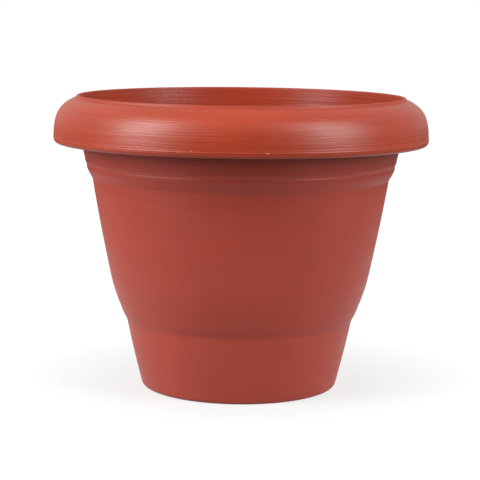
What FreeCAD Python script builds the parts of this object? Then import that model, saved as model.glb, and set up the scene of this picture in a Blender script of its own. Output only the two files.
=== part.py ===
import FreeCAD, Part
import math
import os
import Sketcher

# Round plastic flower pot with a hollow rolled rim, a lift-out drain grid and push-in drain plugs.
# Millimetres. +Z is the pot's axis, and z = 0 is the surface that the foot ring stands on.

doc = FreeCAD.newDocument("FlowerPot")
sheet = doc.addObject("Spreadsheet::Sheet", "Sizes")

driving_sizes = [
    # moulded shell: mouth and rolled rim
    ("pot_height", "238"),
    ("mouth_diameter", "260"),
    ("wall", "2.5"),
    ("lip_width", "4.6"),
    ("lip_round", "1.3"),
    ("rim_overhang", "17.9"),
    ("rim_depth", "37"),
    ("rim_slope", "26.5"),
    ("rim_round", "20"),
    ("skirt_draft", "4.5"),
    ("skirt_round", "0.8"),
    ("parting_height", "4.4"),
    ("parting_step", "0.4"),
    ("channel_round", "1.5"),
    # moulded shell: neck, belly and lower wall
    ("mouth_land", "20"),
    ("neck_drop", "54"),
    ("neck_inset", "5.9"),
    ("neck_step", "0.6"),
    ("cove_height", "12.6"),
    ("cove_width", "5"),
    ("cove_round", "36"),
    ("belly_bow", "1700"),
    ("shoulder_height", "36"),
    ("shoulder_inset", "6"),
    ("lower_height", "54"),
    ("lower_flare", "12.8"),
    ("lower_bow", "1000"),
    # moulded shell: floor and foot ring
    ("base_diameter", "159.4"),
    ("base_round", "1.5"),
    ("foot_width", "3.5"),
    ("foot_round", "1.5"),
    ("floor_lift", "8"),
    ("floor_thickness", "2.5"),
    ("corner_round", "3"),
    ("rib_depth", "3.5"),
    ("rib_width", "2"),
    ("hub_diameter", "40"),
    ("gate_diameter", "5"),
    ("gate_height", "0.8"),
    # drain holes and their plugs
    ("drain_count", "4"),
    ("drain_diameter", "14"),
    ("drain_circle", "100"),
    ("plug_clearance", "0.15"),
    ("plug_recess", "0.3"),
    ("plug_chamfer", "0.8"),
    ("plug_head_diameter", "22"),
    ("plug_head_thickness", "2"),
    ("plug_head_round", "0.8"),
    ("tab_width", "12"),
    ("tab_thickness", "3"),
    ("tab_drop", "4"),
    ("tab_round", "2"),
    # drain grid
    ("grid_clearance", "1.2"),
    ("grid_thickness", "2.5"),
    ("grid_leg", "10"),
    ("grid_edge_width", "2.5"),
    ("grid_edge_drop", "3"),
    ("grid_edge_round", "1"),
    ("grid_hub_diameter", "28"),
    ("grid_hub_wall", "2.5"),
    ("slot_width", "4.5"),
    ("inner_slot_count", "12"),
    ("inner_slot_start", "20"),
    ("inner_slot_end", "38"),
    ("outer_slot_count", "30"),
    ("outer_slot_start", "47"),
    ("outer_slot_end", "63"),
    ("peg_count", "8"),
    ("peg_diameter", "6"),
    ("peg_circle", "142"),
    ("knob_stem_diameter", "11"),
    ("knob_stem_height", "5"),
    ("knob_diameter", "22"),
    ("knob_height", "6"),
    ("knob_round", "2.5"),
]

for row, (alias, number) in enumerate(driving_sizes, start=1):
    sheet.set(f"A{row}", alias)
    sheet.set(f"B{row}", number)
    sheet.setAlias(f"B{row}", alias)
doc.recompute()


class Formula:
    # a number together with the sheet formula that gives it

    def __init__(self, number, text):
        self.number = number
        self.text = text

    def __add__(self, other):
        other = formula(other)
        return Formula(self.number + other.number, f"({self.text} + {other.text})")

    def __sub__(self, other):
        other = formula(other)
        return Formula(self.number - other.number, f"({self.text} - {other.text})")

    def __rsub__(self, other):
        return formula(other) - self

    def __mul__(self, other):
        other = formula(other)
        return Formula(self.number * other.number, f"({self.text} * {other.text})")

    def __truediv__(self, other):
        other = formula(other)
        return Formula(self.number / other.number, f"({self.text} / {other.text})")

    def __neg__(self):
        return Formula(-self.number, f"(-1 * {self.text})")


def formula(item):
    if isinstance(item, Formula):
        return item
    return Formula(float(item), str(item))


def size(alias):
    return Formula(float(sheet.get(alias)), f"Sizes.{alias}")


def sine(angle):
    return Formula(math.sin(math.radians(angle.number)), f"sin({angle.text})")


def cosine(angle):
    return Formula(math.cos(math.radians(angle.number)), f"cos({angle.text})")


def tangent(angle):
    return Formula(math.tan(math.radians(angle.number)), f"tan({angle.text})")


axis = formula(0)
ground = formula(0)


def new_body(name):
    body = doc.addObject("PartDesign::Body", name)
    body.Label = name
    return body


def new_sketch(body, name, role, lift=None):
    sketch = body.newObject("Sketcher::SketchObject", name)
    plane = next(item for item in body.Origin.OriginFeatures if item.Role == role)
    sketch.AttachmentSupport = [(plane, "")]
    sketch.MapMode = "FlatFace"
    if lift is not None:
        sketch.AttachmentOffset = FreeCAD.Placement(FreeCAD.Vector(0, 0, lift.number), FreeCAD.Rotation())
        sketch.setExpression("AttachmentOffset.Base.z", lift.text)
    return sketch


def bind(sketch, constraint, item):
    index = sketch.addConstraint(constraint)
    sketch.setExpression(f"Constraints[{index}]", item.text)


def pin(sketch, edge, end, place):
    across, up = place
    if across.number == 0:
        sketch.addConstraint(Sketcher.Constraint("PointOnObject", edge, end, -2))
    else:
        bind(sketch, Sketcher.Constraint("DistanceX", -1, 1, edge, end, across.number), across)
    if up.number == 0:
        sketch.addConstraint(Sketcher.Constraint("PointOnObject", edge, end, -1))
    else:
        bind(sketch, Sketcher.Constraint("DistanceY", -1, 1, edge, end, up.number), up)


def arc_through(start, end, radius, side):
    # the shorter arc between two points; side 1 bulges to the left of the way from start to end
    chord = end - start
    left = FreeCAD.Vector(-chord.y, chord.x, 0).normalize()
    half = chord.Length / 2
    rise = radius - math.sqrt(max(radius ** 2 - half ** 2, 0))
    return Part.Arc(start, (start + end) / 2 + left * (side * rise), end)


def outline(sketch, corners, arcs):
    # a closed outline through pinned corners; arcs maps a corner's number to the arc that starts there,
    # as (side, radius) or as (side, radius guess, number of the corner whose edge it is tangent to)
    points = [FreeCAD.Vector(across.number, up.number, 0) for across, up in corners]
    count = len(points)
    edges = []
    ends = []
    for number, start in enumerate(points):
        finish = points[(number + 1) % count]
        if number in arcs:
            side, radius = arcs[number][:2]
            curve = arc_through(start, finish, radius.number, side)
        else:
            curve = Part.LineSegment(start, finish)
        edge = sketch.addGeometry(curve, False)
        first_is_start = sketch.getPoint(edge, 1).distanceToPoint(start) < 1e-6
        edges.append(edge)
        ends.append((1, 2) if first_is_start else (2, 1))
    tangent_pairs = [(number, arcs[number][2]) for number in arcs if len(arcs[number]) == 3]
    for number in range(count):
        before = (number - 1) % count
        joint = (edges[before], ends[before][1], edges[number], ends[number][0])
        smooth = (number, before) in tangent_pairs or (before, number) in tangent_pairs
        sketch.addConstraint(Sketcher.Constraint("Tangent" if smooth else "Coincident", *joint))
        pin(sketch, edges[number], ends[number][0], corners[number])
    for number in arcs:
        if len(arcs[number]) == 2:
            radius = arcs[number][1]
            bind(sketch, Sketcher.Constraint("Radius", edges[number], radius.number), radius)


def circle(sketch, across, up, radius):
    centre = FreeCAD.Vector(across.number, up.number, 0)
    edge = sketch.addGeometry(Part.Circle(centre, FreeCAD.Vector(0, 0, 1), radius.number), False)
    pin(sketch, edge, 3, (across, up))
    bind(sketch, Sketcher.Constraint("Radius", edge, radius.number), radius)


def slot(sketch, start, end, width):
    # an obround along the first axis, from start to end
    half = width / 2
    corners = [(start + half, -half), (end - half, -half), (end - half, half), (start + half, half)]
    outline(sketch, corners, {1: (-1, half, 0), 3: (-1, half, 2)})


def rectangle(sketch, low, high):
    outline(sketch, [low, (high[0], low[1]), high, (low[0], high[1])], {})


def revolve(body, name, sketch):
    feature = body.newObject("PartDesign::Revolution", name)
    feature.Profile = sketch
    feature.ReferenceAxis = (sketch, ["V_Axis"])
    feature.Angle = 360
    doc.recompute()
    return feature


def pad(body, name, sketch, length):
    feature = body.newObject("PartDesign::Pad", name)
    feature.Profile = sketch
    feature.Length = length.number
    feature.setExpression("Length", length.text)
    doc.recompute()
    return feature


def pocket_upwards(body, name, sketch, depth):
    before = body.Shape.Volume
    feature = body.newObject("PartDesign::Pocket", name)
    feature.Profile = sketch
    feature.Length = depth.number
    feature.setExpression("Length", depth.text)
    feature.Reversed = True
    doc.recompute()
    if body.Shape.Volume >= before:
        raise RuntimeError(f"{name} cuts nothing")
    return feature


def around_axis(body, name, feature, sketch, count):
    pattern = body.newObject("PartDesign::PolarPattern", name)
    pattern.Originals = [feature]
    pattern.Axis = (sketch, ["N_Axis"])
    pattern.Angle = 360
    pattern.Occurrences = round(count.number)
    pattern.setExpression("Occurrences", count.text)
    body.Tip = pattern
    doc.recompute()
    return pattern


# Places that more than one piece uses
wall = size("wall")
pot_top = size("pot_height")
mouth_r = size("mouth_diameter") / 2
base_r = size("base_diameter") / 2
lower_top = size("lower_height")
floor_under = size("floor_lift")
floor_top = floor_under + size("floor_thickness")
drain_r = size("drain_diameter") / 2
drain_reach = size("drain_circle") / 2


def lower_wall_r(height):
    # outer radius of the lower wall on the straight line between its ends
    return base_r + size("lower_flare") * height / lower_top


# Moulded shell
def rim_places():
    # corners of the rolled rim: lip, crown, shoulder, skirt and the hollow underneath
    slope = size("rim_slope")
    draft = size("skirt_draft")
    lip_round = size("lip_round")
    lip_r = mouth_r + size("lip_width")
    lip_foot = pot_top - lip_round
    rim_r = lip_r + size("rim_overhang")
    edge_z = pot_top - size("rim_depth")
    parting_z = edge_z + size("parting_height")
    band_r = rim_r - size("parting_step")
    skirt_round = size("skirt_round")

    # the crown and the skirt would meet at this corner, which the shoulder rounds off
    slope_tan = tangent(slope)
    draft_tan = tangent(draft)
    corner_r = rim_r - draft_tan * (lip_foot - parting_z) - slope_tan * draft_tan * lip_r
    corner_r = corner_r / (1 - slope_tan * draft_tan)
    corner_z = lip_foot - (corner_r - lip_r) * slope_tan
    shoulder_turn = 90 - slope - draft
    reach = size("rim_round") * tangent(shoulder_turn / 2)
    crown_r = corner_r - reach * cosine(slope)
    crown_z = corner_z + reach * sine(slope)
    side_r = corner_r + reach * sine(draft)
    side_z = corner_z - reach * cosine(draft)

    # the hollow lies one wall inside
    under_r = crown_r - wall * sine(slope)
    under_z = crown_z - wall * cosine(slope)
    inside_r = side_r - wall * cosine(draft)
    inside_z = side_z - wall * sine(draft)
    neck_r = mouth_r + wall
    ceiling_z = under_z + (under_r - neck_r) * slope_tan
    channel_reach = size("channel_round") * tangent((slope + 90) / 2)

    return [
        (neck_r, pot_top - size("mouth_land")),
        (neck_r, ceiling_z - channel_reach),
        (neck_r + channel_reach * cosine(slope), ceiling_z - channel_reach * sine(slope)),
        (under_r, under_z),
        (inside_r, inside_z),
        (inside_r + (inside_z - edge_z) * draft_tan, edge_z),
        (band_r - skirt_round, edge_z),
        (band_r, edge_z + skirt_round),
        (band_r, parting_z),
        (rim_r, parting_z),
        (side_r, side_z),
        (crown_r, crown_z),
        (lip_r, lip_foot),
        (lip_r - lip_round, pot_top),
        (mouth_r + lip_round, pot_top),
        (mouth_r, lip_foot),
    ]


def pot_shell():
    body = new_body("pot_shell")
    foot_in = base_r - size("foot_width")
    foot_round = size("foot_round")
    base_round = size("base_round")
    corner_round = size("corner_round")
    crease_r = base_r + size("lower_flare")
    neck_z = pot_top - size("neck_drop")
    neck_low_r = mouth_r + wall - size("neck_inset")
    cove_top_r = neck_low_r - size("neck_step")
    belly_top = (cove_top_r - size("cove_width"), neck_z - size("cove_height"))

    # the belly's line, carried on down to the crease, passes it by the shoulder's inset
    belly_foot_z = lower_top + size("shoulder_height")
    shoulder_share = size("shoulder_height") / (belly_top[1] - belly_foot_z)
    belly_foot_r = crease_r + size("shoulder_inset") + shoulder_share * belly_top[0]
    belly_foot = (belly_foot_r / (shoulder_share + 1), belly_foot_z)

    corner_top = floor_top + corner_round
    corner_r = lower_wall_r(corner_top) - wall
    lower_bow = size("lower_bow")
    belly_bow = size("belly_bow")
    shoulder_guess = size("shoulder_height") * 3  # the tangency to the belly sets the true radius

    underside = [
        (axis, floor_under),
        (foot_in - foot_round, floor_under),
        (foot_in, floor_under - foot_round),
        (foot_in, ground),
        (base_r - base_round, ground),
    ]
    outside = [
        (lower_wall_r(base_round), base_round),
        (crease_r, lower_top),
        belly_foot,
        belly_top,
        (cove_top_r, neck_z),
        (neck_low_r, neck_z),
    ]
    rim = rim_places()
    inside = [
        (mouth_r, pot_top - size("mouth_land")),
        (cove_top_r - wall, neck_z),
        (belly_top[0] - wall, belly_top[1]),
        (belly_foot[0] - wall, belly_foot[1]),
        (crease_r - wall, lower_top),
        (corner_r, corner_top),
        (corner_r - corner_round, floor_top),
        (axis, floor_top),
    ]
    rim_start = len(underside) + len(outside)
    inside_start = rim_start + len(rim)
    arcs = {
        1: (1, foot_round),
        4: (-1, base_round, 3),
        5: (-1, lower_bow),
        6: (-1, shoulder_guess, 7),
        7: (-1, belly_bow),
        8: (-1, size("cove_round")),
        rim_start + 1: (1, size("channel_round")),
        rim_start + 3: (1, size("rim_round") - wall),
        rim_start + 6: (-1, size("skirt_round")),
        rim_start + 10: (-1, size("rim_round")),
        rim_start + 12: (-1, size("lip_round")),
        rim_start + 14: (-1, size("lip_round")),
        inside_start + 1: (1, size("cove_round")),
        inside_start + 2: (1, belly_bow),
        inside_start + 3: (1, shoulder_guess, inside_start + 2),
        inside_start + 4: (1, lower_bow),
        inside_start + 5: (1, corner_round),
    }
    profile = new_sketch(body, "shell_profile", "XZ_Plane")
    outline(profile, underside + outside + rim + inside, arcs)
    revolve(body, "shell_turn", profile)

    # ribs, hub ring and gate mark under the floor
    hub_r = size("hub_diameter") / 2
    rib_width = size("rib_width")
    rib_depth = size("rib_depth")
    rib_low = floor_under - rib_depth
    hub_sketch = new_sketch(body, "hub_rings", "XY_Plane", rib_low)
    circle(hub_sketch, axis, ground, hub_r)
    circle(hub_sketch, axis, ground, hub_r - rib_width)
    pad(body, "hub_ring", hub_sketch, rib_depth)
    rib_sketch = new_sketch(body, "rib_plan", "XY_Plane", rib_low)
    rib_start = hub_r - rib_width / 2
    rib_end = foot_in + size("foot_width") / 2
    rectangle(rib_sketch, (rib_start, -rib_width / 2), (rib_end, rib_width / 2))
    rib = pad(body, "rib", rib_sketch, rib_depth)
    around_axis(body, "ribs", rib, rib_sketch, size("drain_count"))
    gate_sketch = new_sketch(body, "gate_plan", "XY_Plane", floor_under - size("gate_height"))
    circle(gate_sketch, axis, ground, size("gate_diameter") / 2)
    pad(body, "gate_mark", gate_sketch, size("gate_height"))

    # drain holes, halfway between the ribs
    half_turn = Formula(180.0, "180") / size("drain_count")
    drain_sketch = new_sketch(body, "drain_plan", "XY_Plane")
    circle(drain_sketch, drain_reach * cosine(half_turn), drain_reach * sine(half_turn), drain_r)
    hole = pocket_upwards(body, "drain_hole", drain_sketch, floor_top + size("floor_thickness"))
    around_axis(body, "drain_holes", hole, drain_sketch, size("drain_count"))
    return body


# Rubber drain plug, pushed up into its hole from below
def drain_plug(number):
    body = new_body(f"drain_plug_{number}")
    shank_r = drain_r - size("plug_clearance")
    shank_top = floor_top - size("plug_recess")
    chamfer = size("plug_chamfer")
    head_r = size("plug_head_diameter") / 2
    head_low = floor_under - size("plug_head_thickness")
    head_round = size("plug_head_round")
    profile = new_sketch(body, f"plug_profile_{number}", "XZ_Plane")
    corners = [
        (axis, head_low),
        (head_r - head_round, head_low),
        (head_r, head_low + head_round),
        (head_r, floor_under),
        (shank_r, floor_under),
        (shank_r, shank_top - chamfer),
        (shank_r - chamfer, shank_top),
        (axis, shank_top),
    ]
    outline(profile, corners, {1: (-1, head_round)})
    revolve(body, f"plug_turn_{number}", profile)

    # pull tab under the head, rooted halfway into it
    tab_round = size("tab_round")
    half_tab = size("tab_width") / 2
    tab_low = head_low - size("tab_drop")
    tab_high = head_low + size("plug_head_thickness") / 2
    tab_sketch = new_sketch(body, f"tab_profile_{number}", "XZ_Plane")
    corners = [
        (-half_tab, tab_high),
        (-half_tab, tab_low + tab_round),
        (tab_round - half_tab, tab_low),
        (half_tab - tab_round, tab_low),
        (half_tab, tab_low + tab_round),
        (half_tab, tab_high),
    ]
    outline(tab_sketch, corners, {1: (-1, tab_round), 3: (-1, tab_round)})
    tab = pad(body, f"pull_tab_{number}", tab_sketch, size("tab_thickness"))
    tab.SideType = "Symmetric"

    # one plug for each hole, its tab across the radius
    turn = Formula(180.0 * (2 * number - 1), str(180 * (2 * number - 1))) / size("drain_count")
    body.Placement = FreeCAD.Placement(
        FreeCAD.Vector(drain_reach.number * cosine(turn).number, drain_reach.number * sine(turn).number, 0),
        FreeCAD.Rotation(FreeCAD.Vector(0, 0, 1), turn.number + 90),
    )
    body.setExpression("Placement.Base.x", (drain_reach * cosine(turn)).text)
    body.setExpression("Placement.Base.y", (drain_reach * sine(turn)).text)
    body.setExpression("Placement.Rotation.Angle", (turn + 90).text)
    return body


# Drain grid, standing on the floor by its pegs and its hub
def drain_grid():
    body = new_body("drain_grid")
    plate_low = floor_top + size("grid_leg")
    plate_top = plate_low + size("grid_thickness")
    edge_low = plate_low - size("grid_edge_drop")
    edge_round = size("grid_edge_round")
    edge_r = lower_wall_r(edge_low) - wall - size("grid_clearance")
    edge_in = edge_r - size("grid_edge_width")
    hub_r = size("grid_hub_diameter") / 2
    hub_in = hub_r - size("grid_hub_wall")
    stem_r = size("knob_stem_diameter") / 2
    stem_top = plate_top + size("knob_stem_height")
    knob_r = size("knob_diameter") / 2
    knob_top = stem_top + size("knob_height")
    knob_round = size("knob_round")
    profile = new_sketch(body, "grid_profile", "XZ_Plane")
    corners = [
        (axis, plate_low),
        (hub_in, plate_low),
        (hub_in, floor_top),
        (hub_r, floor_top),
        (hub_r, plate_low),
        (edge_in, plate_low),
        (edge_in, edge_low),
        (edge_r, edge_low),
        (edge_r, plate_top - edge_round),
        (edge_r - edge_round, plate_top),
        (stem_r, plate_top),
        (stem_r, stem_top),
        (knob_r, stem_top),
        (knob_r, knob_top - knob_round),
        (knob_r - knob_round, knob_top),
        (axis, knob_top),
    ]
    outline(profile, corners, {8: (-1, edge_round), 13: (-1, knob_round)})
    revolve(body, "grid_turn", profile)

    # pegs that stand on the floor
    peg_sketch = new_sketch(body, "peg_plan", "XY_Plane", floor_top)
    circle(peg_sketch, size("peg_circle") / 2, ground, size("peg_diameter") / 2)
    peg = pad(body, "peg", peg_sketch, size("grid_leg"))
    around_axis(body, "pegs", peg, peg_sketch, size("peg_count"))

    # two rings of slots that let the water through
    for ring in ("inner", "outer"):
        slot_sketch = new_sketch(body, f"{ring}_slot_plan", "XY_Plane", plate_low)
        slot(slot_sketch, size(f"{ring}_slot_start"), size(f"{ring}_slot_end"), size("slot_width"))
        cut = pocket_upwards(body, f"{ring}_slot", slot_sketch, size("grid_thickness"))
        around_axis(body, f"{ring}_slots", cut, slot_sketch, size(f"{ring}_slot_count"))
    return body


sub_parts = [pot_shell(), drain_grid()]
sub_parts += [drain_plug(number) for number in range(1, round(size("drain_count").number) + 1)]
doc.recompute()

for item in doc.Objects:
    if "Invalid" in item.State or "Error" in item.State:
        raise RuntimeError(f"{item.Name} failed: {item.State}")
for body in sub_parts:
    if body.Shape.isNull() or not body.Shape.isValid():
        raise RuntimeError(f"{body.Label} has no valid shape")

os.makedirs("parts", exist_ok=True)
for body in sub_parts:
    body.Shape.exportStep(f"parts/{body.Label}.step")
    box = body.Shape.BoundBox
    print(body.Label, len(body.Shape.Solids), "solid", round(body.Shape.Volume / 1000, 2), "cm3",
          "z", round(box.ZMin, 2), "to", round(box.ZMax, 2), "width", round(box.XLength, 2))
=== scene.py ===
import bpy
import bmesh
import math
from mathutils import Matrix, Vector


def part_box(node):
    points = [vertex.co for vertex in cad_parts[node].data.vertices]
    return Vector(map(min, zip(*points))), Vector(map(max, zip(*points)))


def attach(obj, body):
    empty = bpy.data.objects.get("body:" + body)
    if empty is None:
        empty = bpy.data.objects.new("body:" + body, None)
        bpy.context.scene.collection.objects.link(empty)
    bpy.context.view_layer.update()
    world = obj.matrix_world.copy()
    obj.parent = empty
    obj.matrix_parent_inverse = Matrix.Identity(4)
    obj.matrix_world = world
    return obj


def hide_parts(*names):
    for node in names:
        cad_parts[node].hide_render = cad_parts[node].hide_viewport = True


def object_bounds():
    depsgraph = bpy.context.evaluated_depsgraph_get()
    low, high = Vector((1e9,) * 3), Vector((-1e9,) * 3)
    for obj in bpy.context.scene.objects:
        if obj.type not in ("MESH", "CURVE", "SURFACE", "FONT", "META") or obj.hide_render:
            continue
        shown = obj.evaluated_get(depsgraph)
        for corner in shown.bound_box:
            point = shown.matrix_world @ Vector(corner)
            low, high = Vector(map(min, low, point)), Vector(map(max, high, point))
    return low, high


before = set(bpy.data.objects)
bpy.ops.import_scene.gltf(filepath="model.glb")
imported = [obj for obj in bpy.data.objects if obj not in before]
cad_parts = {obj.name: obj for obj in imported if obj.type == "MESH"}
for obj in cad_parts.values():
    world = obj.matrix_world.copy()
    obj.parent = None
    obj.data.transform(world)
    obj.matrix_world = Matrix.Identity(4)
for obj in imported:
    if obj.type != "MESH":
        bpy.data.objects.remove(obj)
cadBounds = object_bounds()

# Moulded flower pot dressed for the camera: turned shell, drain grid and rubber plugs.
# Profiles are written in millimetres as (radius, height, rounding), meshes are in metres.
milli = 0.001
hardAngle = math.radians(38)  # an edge that turns by more than this is shaded hard
noiseSpan = (0.3, 0.7)        # what a noise mostly keeps to
scene = bpy.context.scene


# node helpers
def newTree(name, inputs):
    tree = bpy.data.node_groups.new(name, "GeometryNodeTree")
    for label, kind, value in inputs:
        socket = tree.interface.new_socket(name=label, in_out="INPUT", socket_type=kind)
        if value is not None:
            socket.default_value = value
    tree.interface.new_socket(name="Mesh", in_out="OUTPUT", socket_type="NodeSocketGeometry")
    return tree


def feed(tree, socket, value):
    # links another node's output, or sets a plain value
    if isinstance(value, bpy.types.NodeSocket):
        tree.links.new(value, socket)
    else:
        socket.default_value = value


def addNode(tree, kind, links=None, **settings):
    node = tree.nodes.new(kind)
    for name, value in settings.items():
        setattr(node, name, value)
    for name, value in (links or {}).items():
        feed(tree, node.inputs[name], value)
    return node


def mathNode(tree, operation, *values):
    node = addNode(tree, "ShaderNodeMath", operation=operation)
    for socket, value in zip(node.inputs, values):
        feed(tree, socket, value)
    return node.outputs[0]


def finishTree(tree, geometry, material):
    # smooth faces with hard edges kept, then real geometry with its material
    smooth = addNode(tree, "GeometryNodeSetShadeSmooth", {"Geometry": geometry, "Shade Smooth": True})
    angle = addNode(tree, "GeometryNodeInputMeshEdgeAngle").outputs["Unsigned Angle"]
    hard = mathNode(tree, "GREATER_THAN", angle, hardAngle)
    edges = addNode(tree, "GeometryNodeSetShadeSmooth", {
        "Geometry": smooth.outputs[0], "Selection": hard, "Shade Smooth": False}, domain="EDGE")
    real = addNode(tree, "GeometryNodeRealizeInstances", {"Geometry": edges.outputs[0]})
    dressed = addNode(tree, "GeometryNodeSetMaterial", {"Geometry": real.outputs[0], "Material": material})
    output = tree.nodes.new("NodeGroupOutput")
    tree.links.new(dressed.outputs[0], output.inputs["Mesh"])


def applyTree(name, tree, values):
    # runs a tree on an empty mesh object and keeps the result as a plain mesh
    host = bpy.data.objects.new(name, bpy.data.meshes.new(name + "Seed"))
    scene.collection.objects.link(host)
    modifier = host.modifiers.new(tree.name, "NODES")
    modifier.node_group = tree
    for item in tree.interface.items_tree:
        if item.in_out == "INPUT" and item.name in values:
            modifier[item.identifier] = values[item.name]
    host.update_tag()
    bpy.context.view_layer.update()
    evaluated = host.evaluated_get(bpy.context.evaluated_depsgraph_get())
    mesh = bpy.data.meshes.new_from_object(evaluated)
    host.modifiers.remove(modifier)
    seed = host.data
    host.data = mesh
    mesh.name = name
    bpy.data.meshes.remove(seed)
    mesh.materials.clear()
    mesh.materials.append(values["Finish"])
    return host


def discard(*objects):
    for item in objects:
        data = item.data
        bpy.data.objects.remove(item)
        if isinstance(data, bpy.types.Mesh):
            bpy.data.meshes.remove(data)
        else:
            bpy.data.curves.remove(data)


# profile helpers
def bow(start, end, radius, count):
    # points between start and end on an arc that bulges to the right of the way, or left for radius < 0
    a = Vector(start[:2])
    b = Vector(end[:2])
    chord = b - a
    side = Vector((chord.y, -chord.x)).normalized()
    size = abs(radius)
    drop = math.sqrt(size ** 2 - (chord.length / 2) ** 2)
    centre = (a + b) / 2 - side * math.copysign(drop, radius)
    first = a - centre
    sweep = 2 * math.asin(chord.length / (2 * size))
    turn = sweep if radius > 0 else -sweep
    points = []
    for step in range(1, count):
        rotated = Matrix.Rotation(turn * step / count, 2) @ first
        points.append((centre.x + rotated.x, centre.y + rotated.y, 0))
    return points


def bezier(pulls, count):
    # points on the curve that four pulls give
    points = []
    for step in range(count + 1):
        t = step / count
        u = 1 - t
        weights = (u ** 3, 3 * u * u * t, 3 * u * t * t, t ** 3)
        r = sum(weight * pull[0] for weight, pull in zip(weights, pulls))
        z = sum(weight * pull[1] for weight, pull in zip(weights, pulls))
        points.append((r, z, 0))
    return points


def offsetPath(path, distance):
    # the same path moved to its left by a distance, or to its right for distance < 0
    moved = []
    for index, point in enumerate(path):
        before = Vector(path[max(index - 1, 0)][:2])
        after = Vector(path[min(index + 1, len(path) - 1)][:2])
        along = (after - before).normalized()
        moved.append((point[0] - along.y * distance, point[1] + along.x * distance, 0))
    return moved


def roundPath(path, guard=0.25, stepAngle=14, reachShare=0.45):
    # rounds the corners that have a rounding, with a guard point each side so that flats shade flat
    # a rounding takes at most reachShare of the shorter side
    rounded = []
    for index, (r, z, size) in enumerate(path):
        corner = Vector((r, z))
        if size == 0 or index in (0, len(path) - 1):
            rounded.append((r, z))
            continue
        back = Vector(path[index - 1][:2]) - corner
        ahead = Vector(path[index + 1][:2]) - corner
        turn = math.pi - back.angle(ahead)
        reach = min(size * math.tan(turn / 2), reachShare * min(back.length, ahead.length))
        radius = reach / math.tan(turn / 2)
        start = corner + back.normalized() * reach
        finish = corner + ahead.normalized() * reach
        inward = (back.normalized() + ahead.normalized()).normalized()
        centre = corner + inward * math.hypot(radius, reach)
        if back.length > reach + 3 * guard:
            rounded.append(tuple(start + back.normalized() * guard))
        steps = max(2, math.ceil(math.degrees(turn) / stepAngle))
        spin = (start - centre).angle_signed(finish - centre)
        for step in range(steps + 1):
            arm = Matrix.Rotation(-spin * step / steps, 2) @ (start - centre)
            rounded.append(tuple(centre + arm))
        if ahead.length > reach + 3 * guard:
            rounded.append(tuple(finish + ahead.normalized() * guard))
    return rounded


def profileCurve(name, points):
    data = bpy.data.curves.new(name, "CURVE")
    data.dimensions = "3D"
    spline = data.splines.new("POLY")
    spline.points.add(len(points) - 1)
    for place, (r, z) in zip(spline.points, points):
        place.co = (r * milli, -z * milli, 0, 1)
    curve = bpy.data.objects.new(name, data)
    scene.collection.objects.link(curve)
    return curve


# lathe tree: a profile swept round the pot's axis and welded at the poles
def buildLatheTree():
    tree = newTree("latheRoundAxis", [
        ("Profile", "NodeSocketObject", None),
        ("Segments", "NodeSocketInt", 320),
        ("Path Radius", "NodeSocketFloat", 0.01),
        ("Weld Distance", "NodeSocketFloat", 0.000002),
        ("Finish", "NodeSocketMaterial", None),
    ])
    given = tree.nodes.new("NodeGroupInput").outputs
    profile = addNode(tree, "GeometryNodeObjectInfo", {"Object": given["Profile"]})
    back = mathNode(tree, "MULTIPLY", given["Path Radius"], -1.0)
    shift = addNode(tree, "ShaderNodeCombineXYZ", {"X": back})
    moved = addNode(tree, "GeometryNodeTransform",
                    {"Geometry": profile.outputs["Geometry"], "Translation": shift.outputs[0]})
    circle = addNode(tree, "GeometryNodeCurvePrimitiveCircle",
                     {"Resolution": given["Segments"], "Radius": given["Path Radius"]})
    upright = addNode(tree, "GeometryNodeSetCurveNormal", {"Curve": circle.outputs["Curve"]}, mode="Z_UP")
    swept = addNode(tree, "GeometryNodeCurveToMesh",
                    {"Curve": upright.outputs[0], "Profile Curve": moved.outputs[0]})
    welded = addNode(tree, "GeometryNodeMergeByDistance",
                     {"Geometry": swept.outputs[0], "Distance": given["Weld Distance"]})
    # the sweep leaves the faces looking inwards
    outward = addNode(tree, "GeometryNodeFlipFaces", {"Mesh": welded.outputs[0]})
    finishTree(tree, outward.outputs[0], given["Finish"])
    return tree


# ring tree: copies of one piece set round the axis, joined to or cut out of a blank
def buildRingTree(name, operation):
    tree = newTree(name, [
        ("Blank", "NodeSocketObject", None),
        ("Copy", "NodeSocketObject", None),
        ("Count", "NodeSocketInt", 4),
        ("First Angle", "NodeSocketFloat", 0.0),
        ("Finish", "NodeSocketMaterial", None),
    ])
    given = tree.nodes.new("NodeGroupInput").outputs
    blank = addNode(tree, "GeometryNodeObjectInfo", {"Object": given["Blank"]})
    copy = addNode(tree, "GeometryNodeObjectInfo", {"Object": given["Copy"]})
    points = addNode(tree, "GeometryNodePoints", {"Count": given["Count"]})
    index = addNode(tree, "GeometryNodeInputIndex").outputs[0]
    share = mathNode(tree, "DIVIDE", index, given["Count"])
    turn = mathNode(tree, "MULTIPLY", share, 2 * math.pi)
    angle = mathNode(tree, "ADD", turn, given["First Angle"])
    spin = addNode(tree, "ShaderNodeCombineXYZ", {"Z": angle})
    ring = addNode(tree, "GeometryNodeInstanceOnPoints", {
        "Points": points.outputs[0], "Instance": copy.outputs["Geometry"], "Rotation": spin.outputs[0]})
    real = addNode(tree, "GeometryNodeRealizeInstances", {"Geometry": ring.outputs[0]})
    joined = addNode(tree, "GeometryNodeMeshBoolean", operation=operation, solver="MANIFOLD")
    blankSocket = "Mesh 1" if operation == "DIFFERENCE" else "Mesh 2"
    tree.links.new(blank.outputs["Geometry"], joined.inputs[blankSocket])
    tree.links.new(real.outputs[0], joined.inputs["Mesh 2"])
    finishTree(tree, joined.outputs["Mesh"], given["Finish"])
    return tree


latheTree = buildLatheTree()
joinTree = buildRingTree("ringJoined", "UNION")
cutTree = buildRingTree("ringCut", "DIFFERENCE")


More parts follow.
